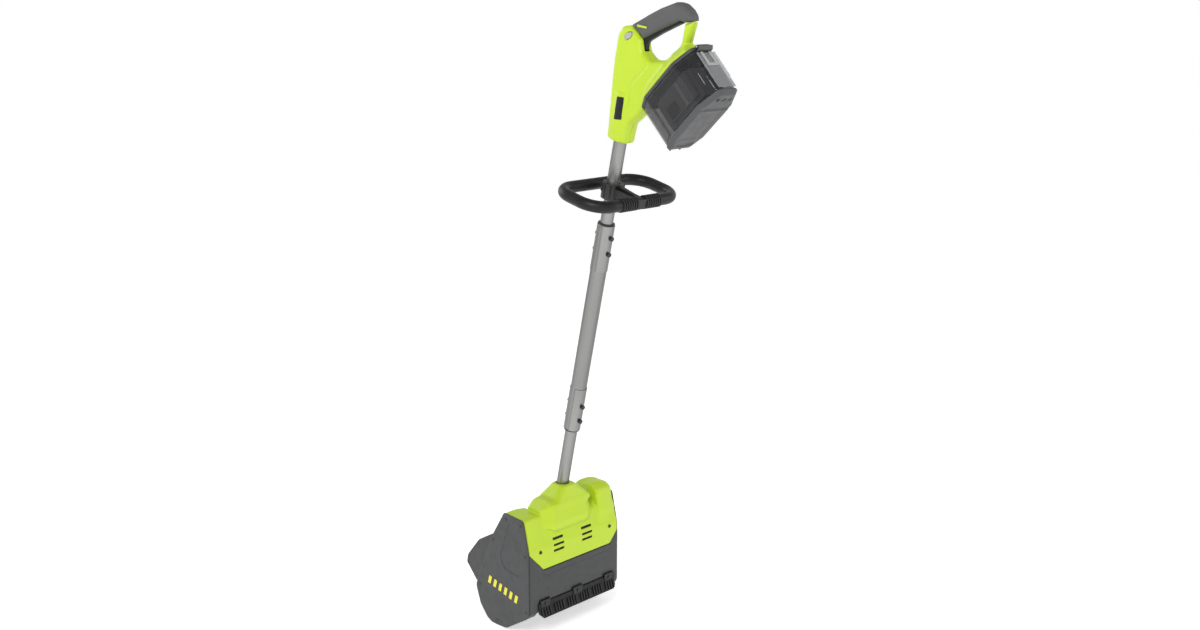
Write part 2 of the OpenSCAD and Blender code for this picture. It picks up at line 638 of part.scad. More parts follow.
// Eight-sided plan of the bay, d inside its outer wall
function bay_plan(d) = [
  [-bay_end_hw + d * 0.6, d], [bay_end_hw - d * 0.6, d], [bay_hw - d, 44 + d * 0.4], [bay_hw - d, 142 - d * 0.4],
  [bay_end_hw + 3 - d * 0.6, bay_len - d], [-bay_end_hw - 3 + d * 0.6, bay_len - d],
  [-bay_hw + d, 142 - d * 0.4], [-bay_hw + d, 44 + d * 0.4]
];
module bay_slab(d, z0, z1) translate([0, 0, z0]) linear_extrude(z1 - z0) polygon(bay_plan(d));
module battery_base() color("#4a4b4d") in_bay() {
  difference() {
    union() {
      bay_slab(0, 0.1, base_t);
      bay_slab(5, base_t - e, base_t + 4);
      // hinge knuckle
      translate([0, hinge_y, hinge_z]) xcyl(4.2, -11.7, 11.7);
      box(-11.7, 11.7, hinge_y, 6, hinge_z - 2.9, hinge_z + 3);
      // catch for the latch
      box(-9, 9, bay_len - 2, bay_len + 2.2, 1, 4.5);
    }
    bay_slab(9, base_t - 2, base_t + 6);
    translate([0, hinge_y, hinge_z]) xcyl(1.55, -60, 60);
    box(-20, 20, 60, 120, -5, 12);
    for (s = [-1, 1]) box(s * 15.5 - 4, s * 15.5 + 4, -1, 0.8, -1, base_t + 1);
  }
  // guide rails for the pack's stem
  for (s = [-1, 1]) box(s * 26 - 3, s * 26 + 3, 52, 132, 4.9, 20);
}
module terminal_block() color("#26272a") in_bay() {
  box(-18, 18, 62, 118, -4, 9);
  for (x = [-12, 0, 12]) box(x - 0.6, x + 0.6, 82, 98, 9 - e, 17);
}
cap_z = 92;
// Smoked cover over the battery
module cover_window() color([0.25, 0.25, 0.27, 0.6]) in_bay() {
  difference() {
    bay_slab(0.4, base_t + gap, cap_z);
    bay_slab(0.4 + cover_wall, base_t + gap - 1, cap_z + 1);
    box(-12, 12, -1, 5, 0, 14);
  }
  // hinge ears
  for (s = [-1, 1]) difference() {
    union() {
      translate([0, hinge_y, hinge_z]) xcyl(4.2, s > 0 ? 12 : -19, s > 0 ? 19 : -12);
      box(s > 0 ? 12 : -19, s > 0 ? 19 : -12, hinge_y, 2.6, base_t + gap, base_t + 6);
      box(s > 0 ? 12 : -19, s > 0 ? 19 : -12, hinge_y - 4.1, -0.4, hinge_z, base_t + 6);
    }
    translate([0, hinge_y, hinge_z]) xcyl(1.55, -60, 60);
  }
}
module cover_cap() color("#55575a") in_bay() {
  difference() {
    union() {
      bay_slab(0, cap_z + 0.1, 104);
      bay_slab(5, 104 - e, bay_depth);
    }
    bay_slab(3.4, cap_z - 1, 103);
    bay_slab(8, 102, bay_depth - 3);
  }
  // latch ears at the far end
  for (s = [-1, 1]) difference() {
    box(s * 14 - 2, s * 14 + 2, bay_len - 0.5, bay_len + 8, 95, 104);
    translate([0, bay_len + 4, 99.5]) xcyl(1.55, -60, 60);
  }
}
module hinge_pin() color("silver") in_bay() translate([0, hinge_y, hinge_z]) xcyl(1.5, -18.5, 18.5);
module latch_pin() color("silver") in_bay() translate([0, bay_len + 4, 99.5]) xcyl(1.5, -16, 16);
// Long snap latch from the cap down to the base
module cover_latch() color([0.7, 0.7, 0.72, 0.8]) in_bay() difference() {
  union() {
    translate([0, bay_len + 4, 99.5]) xcyl(3.6, -11.5, 11.5);
    box(-11.5, 11.5, bay_len + 3.4, bay_len + 6.4, 0, 99);
    box(-9, 9, bay_len + 2.6, bay_len + 4, 0, 4.5);
  }
  translate([0, bay_len + 4, 99.5]) xcyl(1.55, -60, 60);
}
module battery_case() color("#3b3c3f") in_bay() difference() {
  union() {
    box(-pack_hw, pack_hw, pack_y0 + 8, pack_y0 + pack_len - 14, pack_z0, pack_z1 - 8);
    box(-pack_hw + 8, pack_hw - 8, pack_y0, pack_y0 + pack_len, pack_z0, pack_z1);
  }
  for (s = [-1, 1]) box(s > 0 ? 31 : -40, s > 0 ? 40 : -31, 92, 120, 52, 78);
}
module battery_stem() color("#2b2c2e") in_bay() difference() {
  union() {
    box(-22, 22, 56, 128, 10, pack_z0 - e);
    box(-18, 18, 62, 118, 9.4, 12);
  }
  for (x = [-12, 0, 12]) box(x - 1.4, x + 1.4, 76, 104, 0, 20);
}
module pack_latch(s) in_bay() box(s > 0 ? 34 : -39.4, s > 0 ? 39.4 : -34, 92.4, 119.6, 52.4, 77.6);
module battery_latch_left() color("#202022") pack_latch(1);
module battery_latch_right() color("#202022") pack_latch(-1);

// ---------------------------------------------------------------- build

auger_housing();
front_hood();
left_side_plate();
right_side_plate();
belt_cover();
top_cover();
shaft_socket();
scraper();
scraper_screws();
belt_cover_screws();
top_cover_screws();
side_plate_screws();
motor_can();
motor_shaft();
motor_fan();
motor_clamps();
drive_pulley();
drive_belt();
auger_pulley();
auger_shaft();
auger_core();
auger_blades();
left_bearing();
right_bearing();
lower_tube();
middle_tube();
upper_tube();
lower_bushing();
upper_bushing();
joint_bolts();
joint_nuts();
power_cable();
loop_handle();
loop_grips();
handle_bracket();
clamp_jaw();
clamp_screws();
handle_shell_left();
handle_shell_right();
grip_overmould();
trigger();
trigger_pin();
trigger_spring();
lock_off_button();
main_switch();
switch_plunger();
control_board();
handle_screws();
battery_base();
terminal_block();
cover_window();
cover_cap();
hinge_pin();
cover_latch();
latch_pin();
battery_case();
battery_stem();
battery_latch_left();
battery_latch_right();
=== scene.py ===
"""Looks of the cordless snow shovel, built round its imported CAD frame.

Shapes are worked out in millimetres in the frame of the head, the shaft or the battery bay, and
placed by that frame's matrix. Moulded shells are signed distance fields turned into meshes.
"""
import json
import math

import bpy
import bmesh
import numpy as np
import openvdb
from mathutils import Matrix, Vector


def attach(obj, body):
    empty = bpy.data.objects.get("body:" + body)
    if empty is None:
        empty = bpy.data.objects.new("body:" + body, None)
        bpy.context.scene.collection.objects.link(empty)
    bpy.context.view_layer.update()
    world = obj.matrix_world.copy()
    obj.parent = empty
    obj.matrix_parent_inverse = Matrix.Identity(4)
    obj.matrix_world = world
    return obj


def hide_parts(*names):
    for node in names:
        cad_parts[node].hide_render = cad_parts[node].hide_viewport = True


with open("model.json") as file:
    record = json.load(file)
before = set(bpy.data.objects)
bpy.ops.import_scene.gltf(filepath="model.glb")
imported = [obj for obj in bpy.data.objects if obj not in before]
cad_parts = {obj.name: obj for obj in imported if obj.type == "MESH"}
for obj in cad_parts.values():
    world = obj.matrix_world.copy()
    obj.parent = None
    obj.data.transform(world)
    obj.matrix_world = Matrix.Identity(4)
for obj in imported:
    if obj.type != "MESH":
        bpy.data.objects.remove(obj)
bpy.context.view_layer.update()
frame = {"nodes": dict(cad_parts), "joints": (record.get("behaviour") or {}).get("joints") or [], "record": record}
MM = 0.001
JOINTS = {j["name"]: j for j in frame["joints"]}
SLOT_OF = {s["node"]: s["material_slot"] for s in frame["record"]["subparts"]}

# ---------------------------------------------------------------- places, from the frame
AUGER = Vector(JOINTS["auger_spin"]["pos_m"])
HEAD = AUGER + Vector((0, 0.066, 0.232))            # where the shaft's axis meets the head
SHAFT_DIR = Vector(JOINTS["loop_slide"]["axis"])
LEAN = math.atan2(SHAFT_DIR.y, SHAFT_DIR.z)
BAY_OUT = Vector(JOINTS["battery_lift"]["axis"])
BAY_HINGE = Vector(JOINTS["cover_hinge"]["pos_m"])
BAY_TURN = Matrix.Rotation(math.atan2(-BAY_OUT.y, BAY_OUT.z), 4, "X")
M_HEAD = Matrix.Translation(HEAD)
M_SHAFT = M_HEAD @ Matrix.Rotation(-LEAN, 4, "X")
M_BAY = Matrix.Translation(BAY_HINGE) @ BAY_TURN @ Matrix.Translation((0, 0.004, -0.003))
SHAFT_TO_BAY = M_BAY.inverted() @ M_SHAFT


# ---------------------------------------------------------------- materials
class Nodes:
    """A short way to write a node tree."""

    def __init__(self, name):
        self.mat = bpy.data.materials.new(name)
        self.mat.use_nodes = True
        self.tree = self.mat.node_tree
        self.shader = self.tree.nodes["Principled BSDF"]
        self.coords = self.add("ShaderNodeTexCoord").outputs["Object"]

    def add(self, kind, **values):
        node = self.tree.nodes.new(kind)
        for key, value in values.items():
            setattr(node, key, value)
        return node

    def link(self, a, b):
        self.tree.links.new(a, b)

    def noise(self, scale, detail=2.0, vector=None, rough=0.5):
        node = self.add("ShaderNodeTexNoise")
        node.inputs["Scale"].default_value = scale
        node.inputs["Detail"].default_value = detail
        node.inputs["Roughness"].default_value = rough
        self.link(vector or self.coords, node.inputs["Vector"])
        return node.outputs["Fac"]

    def spread(self, value, low, high, start=0.3, end=0.7):
        node = self.add("ShaderNodeMapRange")
        for key, number in zip(("From Min", "From Max", "To Min", "To Max"), (start, end, low, high)):
            node.inputs[key].default_value = number
        self.link(value, node.inputs["Value"])
        return node.outputs["Result"]

    def mix(self, factor, a, b):
        node = self.add("ShaderNodeMix", data_type="RGBA")
        self.link(factor, node.inputs["Factor"])
        for value, key in ((a, "A"), (b, "B")):
            socket = [s for s in node.inputs if s.name == key and s.type == "RGBA"][0]
            if isinstance(value, bpy.types.NodeSocket):
                self.link(value, socket)
            else:
                socket.default_value = (*value, 1)
        return [s for s in node.outputs if s.type == "RGBA"][0]

    def bump(self, height, strength, distance):
        node = self.add("ShaderNodeBump")
        node.inputs["Strength"].default_value = strength
        node.inputs["Distance"].default_value = distance
        self.link(height, node.inputs["Height"])
        self.link(node.outputs["Normal"], self.shader.inputs["Normal"])


def shade(colour, k):
    """The colour made k times as bright."""
    return tuple(min(1.0, c * k) for c in colour)


def surface(name, colour, rough, grain=0.25, grain_size=0.7, metal=0.0, wear=0.35, tint=0.06, stretch=None,
            coat=0.0, specular=0.5, rim=0.0):
    """Moulded or coated surface: fine grain, slow colour drift, paler edges from wear and, when rim is set,
    painted shade that darkens the rims seen edge-on.
    """
    n = Nodes(name)
    coords = n.coords
    if stretch:
        turn = n.add("ShaderNodeMapping")
        turn.inputs["Rotation"].default_value = (LEAN, 0, 0)
        turn.inputs["Scale"].default_value = stretch
        n.link(coords, turn.inputs["Vector"])
        coords = turn.outputs["Vector"]
    drift = n.mix(n.noise(7, 4), shade(colour, 1 - tint), shade(colour, 1 + tint))
    point = n.add("ShaderNodeNewGeometry").outputs["Pointiness"]
    edge = n.spread(point, 0.0, wear, 0.53, 0.62)
    wear_and_painted_rim_shade = n.mix(edge, drift, shade([c + 0.05 for c in colour], 1.25))
    # painted shade: with rim set, the colour darkens towards the sides seen edge-on, standing in for the dark
    # reflections along a tube
    if rim:
        facing = n.add("ShaderNodeLayerWeight").outputs["Facing"]
        wear_and_painted_rim_shade = n.mix(n.spread(facing, 0.0, rim, 0.15, 0.8), wear_and_painted_rim_shade, shade(colour, 0.15))
    n.link(wear_and_painted_rim_shade, n.shader.inputs["Base Color"])
    n.shader.inputs["Specular IOR Level"].default_value = specular
    n.link(n.spread(n.noise(60, 3, coords), rough - 0.06, rough + 0.08), n.shader.inputs["Roughness"])
    n.bump(n.noise(1000 / grain_size, 2, coords), grain, 0.00012)
    n.shader.inputs["Metallic"].default_value = metal
    n.shader.inputs["Coat Weight"].default_value = coat
    return n.mat


def clear(name, colour, alpha, rough):
    """Clear moulding, thin enough that it only tints what is behind it."""
    n = Nodes(name)
    n.link(n.mix(n.noise(25, 3), shade(colour, 0.9), shade(colour, 1.1)), n.shader.inputs["Base Color"])
    n.link(n.spread(n.noise(90, 3), rough - 0.03, rough + 0.05), n.shader.inputs["Roughness"])
    n.bump(n.noise(30, 1), 0.02, 0.0003)
    n.shader.inputs["Alpha"].default_value = alpha
    n.shader.inputs["IOR"].default_value = 1.58
    return n.mat


LIME = (0.455, 0.625, 0.017)
DARK = (0.039, 0.04, 0.042)
MATS = {
    "lime_plastic": surface("lime_plastic", LIME, 0.38, 0.16, 0.8, wear=0.2, tint=0.035),
    "housing_plastic": surface("housing_plastic", DARK, 0.5, 0.4, 0.7),
    "black_plastic": surface("black_plastic", (0.009, 0.009, 0.01), 0.42, 0.35, 0.7, specular=0.28),
    "black_rubber": surface("black_rubber", (0.01, 0.01, 0.011), 0.6, 0.6, 0.9, wear=0.25, specular=0.3),
    "grip_rubber": surface("grip_rubber", (0.08, 0.081, 0.08), 0.66, 0.8, 1.1, wear=0.2),
    # the tube's sides get painted shade through rim
    "tube_metal": surface("tube_metal", (0.25, 0.25, 0.243), 0.3, 0.12, 0.5, metal=0.9, wear=0.4, rim=0.95,
                          stretch=(1, 1, 0.03), coat=0.25),
    "steel": surface("steel", (0.56, 0.56, 0.55), 0.3, 0.1, 0.4, metal=1.0, wear=0.2),
    "black_steel": surface("black_steel", (0.02, 0.02, 0.021), 0.36, 0.15, 0.4, metal=0.7),
    "cast_alloy": surface("cast_alloy", (0.58, 0.58, 0.6), 0.5, 0.6, 1.6, metal=0.9),
    "cap_plastic": surface("cap_plastic", (0.06, 0.061, 0.064), 0.46, 0.35, 0.7),
    "button_plastic": surface("button_plastic", (0.36, 0.37, 0.36), 0.4, 0.2, 0.6),
    "board_green": surface("board_green", (0.012, 0.12, 0.04), 0.35, 0.1, 0.5),
    "cable_jacket": surface("cable_jacket", (0.02, 0.02, 0.02), 0.5, 0.3, 0.6),
    "red_plastic": surface("red_plastic", (0.45, 0.03, 0.02), 0.35, 0.1, 0.5),
    "decal_yellow": surface("decal_yellow", (0.78, 0.72, 0.02), 0.4, 0.05, 0.5, wear=0.0, tint=0.02),
    "pack_plastic": surface("pack_plastic", (0.15, 0.152, 0.158), 0.5, 0.3, 0.7),
    "smoked_plastic": clear("smoked_plastic", (0.02, 0.02, 0.022), 0.46, 0.08),
    "clear_plastic": clear("clear_plastic", (0.3, 0.305, 0.31), 0.5, 0.2),
}

for name, node in frame["nodes"].items():
    # the battery pack is paler than the housing, so that it shows through the smoked cover
    mat = MATS["pack_plastic" if name == "battery_case" else SLOT_OF[name]]
    if not node.material_slots:
        node.data.materials.append(mat)
    for slot in node.material_slots:
        slot.material = mat


# ---------------------------------------------------------------- mesh tools
def piece(name, mesh, mat, body, replaces=(), matrix=None, smooth=True):
    """Adds a mesh in millimetres as a piece that rides on a body."""
    mesh.transform((matrix or Matrix()) @ Matrix.Scale(MM, 4))
    mesh.name = name
    obj = bpy.data.objects.new(name, mesh)
    bpy.context.collection.objects.link(obj)
    mesh.materials.append(MATS[mat])
    mesh.polygons.foreach_set("use_smooth", [smooth] * len(mesh.polygons))
    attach(obj, body)
    if replaces:
        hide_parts(*replaces)


def bevel(obj, width, segments=3, angle=32):
    """Rounds the sharp edges, width in millimetres."""
    mod = obj.modifiers.new("rounded edges", "BEVEL")
    mod.width = width * MM
    mod.segments = segments
    mod.limit_method = "ANGLE"
    mod.angle_limit = math.radians(angle)
    mod.harden_normals = False
    mod.use_clamp_overlap = True


def rounded(points, radius, steps=5):
    """Outline with its corners turned into arcs. radius is one number or one per corner."""
    out = []
    count = len(points)
    radii = radius if isinstance(radius, (list, tuple)) else [radius] * count
    for i, p in enumerate(points):
        p = Vector(p)
        a = Vector(points[i - 1]) - p
        b = Vector(points[(i + 1) % count]) - p
        half = a.angle(b) / 2
        cut = min(radii[i] / max(math.tan(half), 1e-3), 0.48 * a.length, 0.48 * b.length)
        if cut < 0.05 or half > math.radians(88):
            out.append(tuple(p))
            continue
        start, end = p + a.normalized() * cut, p + b.normalized() * cut
        for k in range(steps + 1):
            t = k / steps
            out.append(tuple(start * (1 - t) ** 2 + p * 2 * t * (1 - t) + end * t ** 2))
    return out


class Volume:
    """A box of samples, in millimetres, in which a moulding's distance field is worked out."""

    def __init__(self, low, high, step):
        self.low, self.step = np.array(low, float), step
        axes = [a + step * np.arange(int((b - a) / step) + 1) for a, b in zip(low, high)]
        axes = [a.astype(np.float32) for a in axes]
        self.x, self.y, self.z = np.meshgrid(*axes, indexing="ij", sparse=True)

    def mesh(self, field, relax=2):
        band = 3 * self.step
        grid = openvdb.FloatGrid(background=band)
        grid.copyFromArray(np.clip(field, -band, band).astype(np.float32))
        points, quads = grid.convertToQuads(isovalue=0)
        mesh = bpy.data.meshes.new("moulding")
        mesh.from_pydata((points * self.step + self.low).tolist(), [], quads[:, ::-1].tolist())
        mesh.update()
        bm = bmesh.new()
        bm.from_mesh(mesh)
        for _ in range(relax):
            bmesh.ops.smooth_vert(bm, verts=bm.verts, factor=0.5,
                                  use_axis_x=True, use_axis_y=True, use_axis_z=True)
        if bm.calc_volume(signed=True) < 0:
            bmesh.ops.reverse_faces(bm, faces=bm.faces)
        bm.to_mesh(mesh)
        bm.free()
        return mesh


def outline_field(u, v, points):
    """Signed distance to a closed outline, negative inside."""
    near = np.full(np.broadcast(u, v).shape, 1e9, np.float32)
    inside = np.zeros(near.shape, bool)
    for (ax, ay), (bx, by) in zip(points, points[1:] + points[:1]):
        ex, ey = bx - ax, by - ay
        if ex == 0 and ey == 0:
            continue
        t = np.clip(((u - ax) * ex + (v - ay) * ey) / (ex * ex + ey * ey), 0, 1)
        near = np.minimum(near, (u - ax - ex * t) ** 2 + (v - ay - ey * t) ** 2)
        if ay != by:
            inside ^= ((ay > v) != (by > v)) & (u < ex * (v - ay) / ey + ax)
    return np.where(inside, -1, 1) * np.sqrt(near)


def prism(across, along, r):
    """A 2D field extruded along the axis of the other field, its rims rounded to r."""
    a, b = across + r, along + r
    return np.minimum(np.maximum(a, b), 0) + np.hypot(np.maximum(a, 0), np.maximum(b, 0)) - r


def merge(a, b, k):
    """Union of two fields, blended over k."""
    h = np.clip(0.5 + 0.5 * (b - a) / k, 0, 1)
    return b * (1 - h) + a * h - k * h * (1 - h)


def carve(a, b, k=0.6):
    """What is left of a once b is cut away, with the edge eased over k."""
    return -merge(-a, b, k)


def block(x, y, z, low, high, r):
    """A box with its edges rounded to r."""
    d = [np.abs(w - (a + b) / 2) - (b - a) / 2 + r for w, a, b in zip((x, y, z), low, high)]
    out = np.sqrt(sum(np.maximum(w, 0) ** 2 for w in d))
    return out + np.minimum(np.maximum(np.maximum(d[0], d[1]), d[2]), 0) - r


def span(w, low, high):
    """Distance to the stretch between low and high, negative inside."""
    return np.abs(w - (low + high) / 2) - (high - low) / 2


def ramp(w, low, high):
    """Smooth rise from 0 at low to 1 at high."""
    t = np.clip((w - low) / (high - low), 0, 1)
    return t * t * (3 - 2 * t)


def plate(outline, x0, x1, r=0.8):
    """A (y, z) outline extruded along X with a chamfered rim."""
    bm = bmesh.new()
    rings = []
    cy = sum(p[0] for p in outline) / len(outline)
    cz = sum(p[1] for p in outline) / len(outline)
    size = max(math.hypot(p[0] - cy, p[1] - cz) for p in outline)
    for x, k in ((x0, 1 - r / size), (x0 + r, 1), (x1 - r, 1), (x1, 1 - r / size)):
        rings.append([bm.verts.new((x, cy + (p[0] - cy) * k, cz + (p[1] - cz) * k)) for p in outline])
    for a, b in zip(rings, rings[1:]):
        for i in range(len(outline)):
            j = (i + 1) % len(outline)
            bm.faces.new((a[i], a[j], b[j], b[i]))
    bm.faces.new(rings[0][::-1])
    bm.faces.new(rings[-1])
    bmesh.ops.recalc_face_normals(bm, faces=bm.faces)
    mesh = bpy.data.meshes.new("plate")
    bm.to_mesh(mesh)
    bm.free()
    return mesh


def joined(*meshes):
    """One mesh of several."""
    bm = bmesh.new()
    for mesh in meshes:
        bm.from_mesh(mesh)
        bpy.data.meshes.remove(mesh)
    out = bpy.data.meshes.new("joined")
    bm.to_mesh(out)
    bm.free()
    return out


# ---------------------------------------------------------------- D-handle
SHELL_HW = 21
SHELL = rounded(
    [(-24, 826), (24, 826), (27, 866), (46, 888), (70.4, 919), (156, 1046.5), (137, 1040), (141, 1085),
     (143.5, 1105), (123, 1097), (124, 1046), (106, 1021), (56, 1006), (32, 1019), (24, 1040), (7, 1050),
     (-12, 1060), (-34, 1053), (-43, 1036), (-37, 950)],
    [4, 4, 20, 12, 2, 2, 10, 30, 1, 1, 18, 16, 26, 12, 2, 2, 6, 12, 10, 60])
GRIP = rounded(
    [(-11, 1061), (7.5, 1051), (24.5, 1041), (62, 1066.5), (112, 1098.5), (123, 1098), (143, 1106),
     (138, 1116), (127, 1125), (110, 1131.5), (94, 1131), (56, 1110), (28, 1091)],
    [1, 2, 3, 20, 8, 2, 1, 8, 14, 14, 16, 60, 60])
TRIGGER = rounded(
    [(104, 1110), (112, 1110), (112, 1094), (64, 1062), (34, 1039), (30, 1031), (29.5, 1018), (24, 1012.5),
     (17.5, 1016), (16.8, 1030), (20, 1041), (28, 1050), (60, 1073), (100, 1105)],
    [1, 1, 3, 20, 8, 8, 5, 6, 5, 8, 8, 10, 20, 6])
TRIGGER_ROOM = [(116, 1116), (116, 1092), (64, 1059), (36, 1038), (33, 1030), (32, 1012), (20, 1008),
                (10, 1012), (8, 1028), (10, 1046), (22, 1062), (54, 1088), (98, 1117)]
SCREWS = [(-18, 938), (74, 958), (-31, 996), (100, 1000), (131, 1070), (38, 1001)]
TRIGGER_PIN = (108, 1111)
BUTTON_OUTLINE = rounded([(-22, 1035), (-14, 1044.5), (-3, 1049), (-1, 1043), (-3, 1037), (-15, 1029)], 3)
LABEL = rounded([(-8, 917), (12, 920.5), (14, 873), (-6, 869)], 2)
INLAY = rounded([(8, 1066.5), (34, 1068.5), (34.5, 1064.5), (9, 1062)], 1.2)


def bay_coords(vol):
    """The bay frame's Y and Z at the samples of a volume in the shaft frame."""
    m = SHAFT_TO_BAY
    t = m.translation / MM
    return m[1][1] * vol.y + m[1][2] * vol.z + t.y, m[2][1] * vol.y + m[2][2] * vol.z + t.z


BAY_LEN, BAY_HW, BAY_DEPTH = 178, 48, 112


def bay_plan(inset=0.0):
    """Outline of the battery bay, seen along the way the pack lifts out."""
    d = inset
    half = [(27 - d * 0.6, d), (BAY_HW - d, 44 + d * 0.4), (BAY_HW - d, 142 - d * 0.4),
            (30 - d * 0.6, BAY_LEN - d)]
    return rounded(half + [(-x, y) for x, y in reversed(half)], 14 - min(d, 6))


def make_handle():
    """The two half shells, with their screws and the blank label."""
    vol = Volume((-52, -50, 818), (52, 170, 1112), 1.2)
    side = outline_field(vol.y, vol.z, SHELL)
    # full body, slimmer along the rear leg and towards the grip
    width = SHELL_HW - 4 * ramp(vol.y, 96, 122) * ramp(vol.z, 1015, 1045) - 3.5 * ramp(vol.z, 985, 1050)
    body = prism(side, np.abs(vol.x) - width, 11)
    neck = prism(np.hypot(vol.x, vol.y) - 24.5, span(vol.z, 826, 925), 3)
    body = merge(body, neck, 6)
    # flange that flares out to the battery bay
    by, bz = bay_coords(vol)
    plan = outline_field(vol.x, by, bay_plan(1.5))
    flare = prism(plan + np.maximum(-bz - 5, 0) * 1.25, span(bz, -30, -0.6), 1.5)
    body = merge(body, np.maximum(flare, -by + 14), 12)
    body = np.maximum(body, np.minimum(bz + 0.3, 186 - by))
    # crease that runs from the finger gap to the neck
    crease = outline_field(vol.y, vol.z,
                           [(56, 1001), (20, 950), (19, 905), (21, 905), (22, 949), (58, 1000)])
    body = carve(body, np.hypot(crease, np.abs(vol.x) - width + 0.2) - 1.6, 2.5)
    hollow = np.maximum(body, -(body + 2.6))
    room = np.maximum(outline_field(vol.y, vol.z, TRIGGER_ROOM), np.abs(vol.x) - 7.3)
    hollow = carve(hollow, room, 0.5)
    hollow = carve(hollow, prism(np.hypot(vol.x, vol.y) - 14.4, span(vol.z, 700, 940), 0.1), 0.5)
    grip_zone = outline_field(vol.y, vol.z, [(-14, 1060.8), (7, 1050.6), (24, 1040.6), (40, 1051),
                                             (118, 1120), (30, 1120)])
    hollow = carve(hollow, grip_zone, 0.3)
    oval = prism(outline_field(vol.y, vol.z, BUTTON_OUTLINE) - 0.5, np.abs(vol.x) - 40, 0.1)
    hollow = carve(hollow, oval, 0.4)
    for v, t in SCREWS:
        at = np.hypot(vol.y - v, vol.z - t)
        boss = np.maximum(np.maximum(at - 4.6, np.abs(vol.x) - width + 1.5), body + 0.5)
        hollow = merge(hollow, boss, 1.2)
        # the screws go in from the right
        hollow = carve(hollow, np.maximum(at - 3.8, width - 3.2 + vol.x), 0.4)
    label = np.maximum(np.maximum(body - 0.7, -body - 0.8), outline_field(vol.y, vol.z, LABEL))
    piece("blank_label", vol.mesh(np.maximum(label, 5 - vol.x)), "black_plastic", "frame", matrix=M_SHAFT)
    heads = np.full(np.broadcast(vol.x, vol.y, vol.z).shape, 9.0, np.float32)
    for v, t in SCREWS:
        at = np.hypot(vol.y - v, vol.z - t)
        pan = np.maximum(at - 3.2, np.maximum(-vol.x - width + 1.0, vol.x + width - 3.4))
        pan = carve(pan, np.maximum(at - 1.5, 1.8 - width - vol.x), 0.2)
        heads = np.minimum(heads, pan)
    piece("handle_screw_heads", vol.mesh(heads), "black_steel", "frame", ["handle_screws"], M_SHAFT)
    for side_sign, name in ((1, "left"), (-1, "right")):
        half = np.maximum(hollow, 0.15 - side_sign * vol.x)
        piece(f"handle_{name}", vol.mesh(half), "lime_plastic", "frame", [f"handle_shell_{name}"], M_SHAFT)


def make_grip():
    """Soft grip, and an inlay on each of its sides."""
    vol = Volume((-20, -16, 1036), (20, 148, 1136), 0.9)
    side = outline_field(vol.y, vol.z, GRIP)
    grip = prism(side, np.abs(vol.x) - 16 - 2.5 * ramp(vol.y, 20, -10), 11)
    grip = carve(grip, np.maximum(outline_field(vol.y, vol.z, TRIGGER_ROOM), np.abs(vol.x) - 7.4), 1.2)
    # seat of the inlay on each side
    grip = carve(grip, np.maximum(outline_field(vol.y, vol.z, INLAY) - 0.3, 15.4 - np.abs(vol.x)), 0.4)
    piece("soft_grip", vol.mesh(grip), "grip_rubber", "frame", ["grip_overmould"], M_SHAFT)
    for s in (-1, 1):
        low, high = sorted((s * 15.5, s * 17.4))
        piece(f"grip_inlay_{'left' if s > 0 else 'right'}", plate(INLAY, low, high, 0.3), "lime_plastic",
              "frame", matrix=M_SHAFT)


def make_trigger():
    """Long lever under the grip, with the barrel that turns on its pin."""
    vol = Volume((-10, 10, 1006), (10, 120, 1120), 0.8)
    body = prism(outline_field(vol.y, vol.z, TRIGGER), np.abs(vol.x) - 7, 3)
    pin = np.hypot(vol.y - TRIGGER_PIN[0], vol.z - TRIGGER_PIN[1])
    barrel = prism(pin - 4.4, np.abs(vol.x) - 7, 0.4)
    body = merge(body, barrel, 1.5)
    body = carve(body, pin - 2.1, 0.2)
    piece("trigger_lever", vol.mesh(body), "black_plastic", "trigger", ["trigger"], M_SHAFT)


def make_button():
    """Lock-off button that slides across the handle."""
    vol = Volume((-26, -28, 1024), (26, 4, 1054), 0.7)
    side = outline_field(vol.y, vol.z, BUTTON_OUTLINE)
    body = prism(side, np.abs(vol.x) - 19.6, 2.0)
    piece("lock_off_pad", vol.mesh(body), "button_plastic", "lock_off", ["lock_off_button"], M_SHAFT)


make_handle()
make_grip()
make_trigger()
make_button()

# ---------------------------------------------------------------- head
HEAD_HW, CASE_OUT = 121, 147
SIDE = rounded([(-81, -110), (-144, -252), (-128, -296), (-104, -322), (-88, -329), (-70, -329),
                (-35, -326), (46, -273), (47, -115), (30, -42), (-36, -40)],
               [30, 24, 20, 14, 6, 6, 30, 24, 40, 12, 9])
COVER_WALL = 3.0
LIME_LEFT = CASE_OUT - 4.2
LIME_RIGHT = -131.6
CASE_SCREWS = [(-28, -54), (22, -56), (-76, -118), (36, -126), (-128, -246), (36, -262), (-66, -316)]
COVER_SCREWS = [111, -105]
PANEL = rounded([(-20, -58), (12, -58), (24, -168), (8, -184), (-38, -178), (-54, -154)],
                [6, 6, 8, 5, 10, 14])


def cover_side(top, front):
    """Side view of one stretch of the top cover, up to a height and as far forward as front."""
    return rounded([(-83, -113), (front, top - 9), (front + 12, top), (17, top), (33, top - 13), (48, -116),
                    (48, -166), (0, -166), (0, -118), (-86, -118)], [30, 8, 10, 16, 16, 30, 1, 1, 1, 2])


